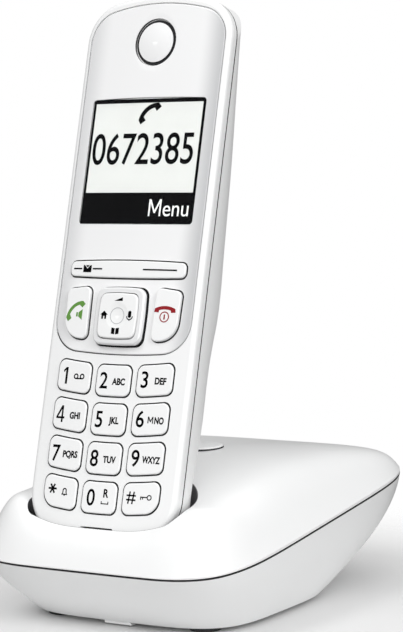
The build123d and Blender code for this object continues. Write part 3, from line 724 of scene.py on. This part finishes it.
def number_keys():
    """Legends of the twelve number keys."""
    for name in "123456789":
        x, y = middle(f"key_{name}")
        shapes = [shifted(digit_shape(name), x + DIGIT_X, y + DIGIT_Y)]
        if name in LETTERS:
            shapes += moved(word_shapes(name), x + LETTER_X, y + LETTER_Y)
        else:
            shapes += moved(loops_icon(), x + LETTER_X - 0.2, y - 0.2)
        lay_on_key(name, shapes)
    x, y = middle("key_0")
    zero = shifted(digit_shape("0"), x - 2.6, y + DIGIT_Y)
    lay_on_key("0", [zero] + moved(recall_icon(), x + 2.2, y - 0.5))
    x, y = middle("key_star")
    lay_on_key("star", moved(star_mark(), x - 2.6, y + 0.8) + moved(bell_icon(), x + 1.7, y))
    x, y = middle("key_hash")
    lay_on_key("hash", moved(hash_mark(), x - 2.9, y) + moved(lock_icon(), x + 1.7, y + 0.4))


def lay_on_key(name, shapes):
    """Print on one number key."""
    key = f"key_{name}"
    lay(f"legend_{name}", key, shapes, surface_of(key), INK)


number_keys()


# ---------------------------------------------------------------- legends of the other keys
def control_legends():
    """Receiver and loudspeaker on the talk key, receiver and power mark on the end key."""
    x, y = middle("call_key")
    tree = surface_of("call_key")
    handset = shifted(receiver(7.2, 0.95, 1.35, 1.25), x - 0.9, y + 0.85, 42)
    horn = [(-0.3, -0.6), (1.0, -1.5), (1.0, 1.5), (-0.3, 0.6)]
    magnet = [(-1.1, -0.6), (-0.55, -0.6), (-0.55, 0.6), (-1.1, 0.6)]
    speaker = moved([filled(horn), filled(magnet)], x + 0.95, y - 0.6)
    lay("legend_talk", "call_key", [handset] + speaker, tree, GREEN_INK, lift=0.05)
    x, y = middle("end_key")
    tree = surface_of("end_key")
    handset = shifted(receiver(6.5, 0.95, 0.75, 1.0), x - 0.35, y + 1.75)
    power = moved([ring(1.37, 0.3), bar(0, -0.7, 0, 0.7, 0.42)], x - 0.35, y - 0.55)
    lay("legend_end", "end_key", [handset] + power, tree, RED_INK, lift=0.05)


def rocker_legends():
    """Envelope between two lines on the rocker's left half, and one line on its right half."""
    x, y = middle("soft_key")
    pocket = filled([(-1.4, -1.0), (1.4, -1.0), (1.4, 1.0), (1.0, 1.0), (0, -0.05), (-1.0, 1.0),
                     (-1.4, 1.0)])
    flap = filled([(-0.64, 1.0), (0, 0.38), (0.64, 1.0)])
    left = [bar(-4.8, 0, -1.9, 0, 0.4), bar(1.9, 0, 5.1, 0, 0.4), pocket, flap]
    shapes = moved(left, x - 13.4, y) + moved([bar(5.6, 0, 16.6, 0, 0.4)], x, y)
    lay("legend_rocker", "soft_key", shapes, surface_of("soft_key"), INK, lift=0.08)


def navigation_legends():
    """Wedge, house, microphone and book around the navigation pad, and the ring in its middle."""
    x, y = middle("nav_pad")
    tree = surface_of("nav_pad")
    wedge = filled([(-1.35, -0.45), (1.35, -0.45), (1.35, 0.55)])
    house = filled([(-1.2, 0.1), (0, 1.2), (1.2, 0.1), (0.8, 0.1), (0.8, -1.1), (0.25, -1.1),
                    (0.25, -0.3), (-0.25, -0.3), (-0.25, -1.1), (-0.8, -1.1), (-0.8, 0.1)])
    capsule = filled(arc(0.52, 0, 180, 8, 0, 0.75) + arc(0.52, 180, 360, 8, 0, -0.2))
    microphone = [capsule, ring(0.95, 0.28, 0, -0.25, 180, 360), bar(0, -1.1, 0, -1.5, 0.3)]
    book = [filled([(-1.25, -0.75), (-0.15, -0.95), (-0.15, 0.75), (-1.25, 0.95)]),
            filled([(0.15, -0.95), (1.25, -0.75), (1.25, 0.95), (0.15, 0.75)])]
    shapes = [shifted(wedge, x, y + 4.6), shifted(house, x - 4.35, y + 0.1)]
    shapes += moved(microphone, x + 4.25, y + 0.2) + moved(book, x, y - 4.3)
    lay("legend_navigation", "nav_pad", shapes, tree, INK, lift=0.06)
    centre = ring(2.25, 0.2, x, y)
    lay("navigation_centre", "nav_pad", [centre], tree, GREY_INK, lift=0.05)


control_legends()
rocker_legends()
navigation_legends()


# ---------------------------------------------------------------- display picture
LAYER_GAP = 0.02


def display_picture():
    """Layers printed and shown on the underside of the clear window."""
    across, along, out = local_box("display_window")
    back = out[0] + LAYER_GAP
    x = (across[0] + across[1]) / 2
    half = (across[1] - across[0]) / 2
    low, high = along
    light_half = half - 0.95
    light_low = low + 9.1
    # Painted shade: the lit film stops lower at the top, and a bar under the top of the border widens the black
    # there, standing in for the shade under the frame's top edge. The rest of the border is the display's own
    # black edge.
    light_high = high - 1.3
    border_and_top_shade = [frame_shape(x - half + 0.15, low + 0.15, x + half - 0.15, high - 0.15, 0.8),
              bar(x - light_half, high - 1.12, x + light_half, high - 1.12, 0.33)]
    place_flat("display_border", border_and_top_shade, back, INK)
    left, right = x - light_half, x + light_half
    light = filled(corners_of(left, light_low, right, light_high))
    place_flat("display_light", [light], back, FILM)
    bottom = filled(corners_of(left, low + 0.9, right, light_low - LAYER_GAP))
    place_flat("display_menu_bar", [bottom], back, INK)
    digits = stretched(lettering("0672385", 9.3, 1.0, 0.08), 34.2)
    icon = shifted(receiver(8.0, 1.35, 1.5, 1.5), x + 0.2, low + 32.4, 38)
    shapes = [shifted(digits, x - 0.5, low + 17.3), icon]
    place_flat("display_digits", shapes, back + LAYER_GAP, INK)
    first = shifted(capital_m(4.8, 4.1, 0.52), x + 4.1, low + 2.4)
    rest = shifted(stretched(lettering("enu", 4.8, 1.0, 0.0), 8.4), x + 13.1, low + 2.4)
    place_flat("display_menu_word", [first, rest], back + LAYER_GAP, WHITE_PIXELS)


display_picture()
nodes["display_window"].visible_shadow = False


# ---------------------------------------------------------------- studio, in metres
FLOOR_RADIUS = 1.6
FADE_START = 0.045
FADE_END = 0.15


def make_floor():
    """Pale round floor that fades out as it leaves the object."""
    made = bmesh.new()
    bmesh.ops.create_circle(made, cap_ends=True, segments=96, radius=FLOOR_RADIUS)
    mesh = bpy.data.meshes.new("floor")
    made.to_mesh(mesh)
    made.free()
    floor = bpy.data.objects.new("floor", mesh)
    bpy.context.scene.collection.objects.link(floor)
    material = shaded("floor_pale", (0.76, 0.76, 0.76), 0.7, drift=0.01, cloud=6.0)
    tree = material.node_tree
    place = add(tree, "ShaderNodeTexCoord")
    distance = add(tree, "ShaderNodeVectorMath", operation="LENGTH")
    tree.links.new(place.outputs["Object"], distance.inputs[0])
    fade = smooth_step(tree, distance.outputs["Value"], FADE_END, FADE_START)
    tree.links.new(fade, tree.nodes["Principled BSDF"].inputs["Alpha"])
    mesh.materials.append(material)


def make_world():
    """White surround: bright above, greyer at the sides and below, plain white behind."""
    world = bpy.data.worlds.new("studio")
    bpy.context.scene.world = world
    world.use_nodes = True
    tree = world.node_tree
    ground = tree.nodes["Background"]
    place = add(tree, "ShaderNodeTexCoord")
    parts = add(tree, "ShaderNodeSeparateXYZ")
    band = add(tree, "ShaderNodeValToRGB")
    tree.links.new(place.outputs["Generated"], parts.inputs["Vector"])
    height = add(tree, "ShaderNodeMapRange")
    height.inputs["From Min"].default_value = -1.0
    tree.links.new(parts.outputs["Z"], height.inputs["Value"])
    tree.links.new(height.outputs["Result"], band.inputs["Fac"])
    shades = [(0.0, 0.08), (0.47, 0.14), (0.56, 0.3), (0.75, 0.5), (1.0, 0.6)]
    band.color_ramp.elements.remove(band.color_ramp.elements[1])
    for index, (position, level) in enumerate(shades):
        element = band.color_ramp.elements[0] if index == 0 else band.color_ramp.elements.new(position)
        element.position = position
        element.color = (level, level, level, 1)
    tree.links.new(band.outputs["Color"], ground.inputs["Color"])
    backdrop = add(tree, "ShaderNodeBackground")
    backdrop.inputs["Color"].default_value = (1, 1, 1, 1)
    rays = add(tree, "ShaderNodeLightPath")
    mix = add(tree, "ShaderNodeMixShader")
    tree.links.new(rays.outputs["Is Camera Ray"], mix.inputs["Fac"])
    tree.links.new(ground.outputs["Background"], mix.inputs[1])
    tree.links.new(backdrop.outputs["Background"], mix.inputs[2])
    tree.links.new(mix.outputs["Shader"], tree.nodes["World Output"].inputs["Surface"])


def make_light(name, place, aim, width, height, power):
    """Soft rectangular lamp that faces a point."""
    lamp = bpy.data.lights.new(name, "AREA")
    lamp.shape = "RECTANGLE"
    lamp.size = width
    lamp.size_y = height
    lamp.energy = power
    holder = bpy.data.objects.new(name, lamp)
    bpy.context.scene.collection.objects.link(holder)
    holder.location = place
    holder.rotation_mode = "QUATERNION"
    holder.rotation_quaternion = (Vector(aim) - Vector(place)).to_track_quat("-Z", "Y")


def make_camera():
    """Long lens, a little above the base and to the right of the front."""
    azimuth = math.radians(33.0)
    elevation = math.radians(5.67)
    roll = math.radians(1.83)
    distance = 0.6524
    low, high = cad_box
    aim = (low + high) / 2 + Vector((0.0041, -0.00115, -0.0046))
    flat = math.cos(elevation)
    forward = Vector((-math.sin(azimuth) * flat, math.cos(azimuth) * flat, -math.sin(elevation)))
    right = Vector((math.cos(azimuth), math.sin(azimuth), 0))
    up = right.cross(forward)
    side = right * math.cos(roll) - up * math.sin(roll)
    top = right * math.sin(roll) + up * math.cos(roll)
    data = bpy.data.cameras.new("camera")
    data.lens = 128.67
    data.sensor_width = 36.0
    camera = bpy.data.objects.new("camera", data)
    bpy.context.scene.collection.objects.link(camera)
    turn = Matrix((side, top, -forward)).transposed().to_4x4()
    camera.matrix_world = Matrix.Translation(aim - forward * distance) @ turn
    bpy.context.scene.camera = camera


make_floor()
make_world()
make_light("lamp_left", (-0.5, -1.1, 1.7), (0, 0, 0.08), 0.8, 0.8, 10.5)
make_light("lamp_front", (0.5, -1.6, 0.7), (0, 0, 0.08), 1.0, 1.0, 9)
make_light("lamp_right", (1.3, -0.5, 0.8), (0, 0, 0.08), 0.6, 1.2, 11)
make_light("lamp_top", (0.1, 0.4, 1.5), (0, 0, 0.05), 1.2, 1.2, 2.5)
make_camera()
bpy.context.scene.view_settings.view_transform = "Standard"
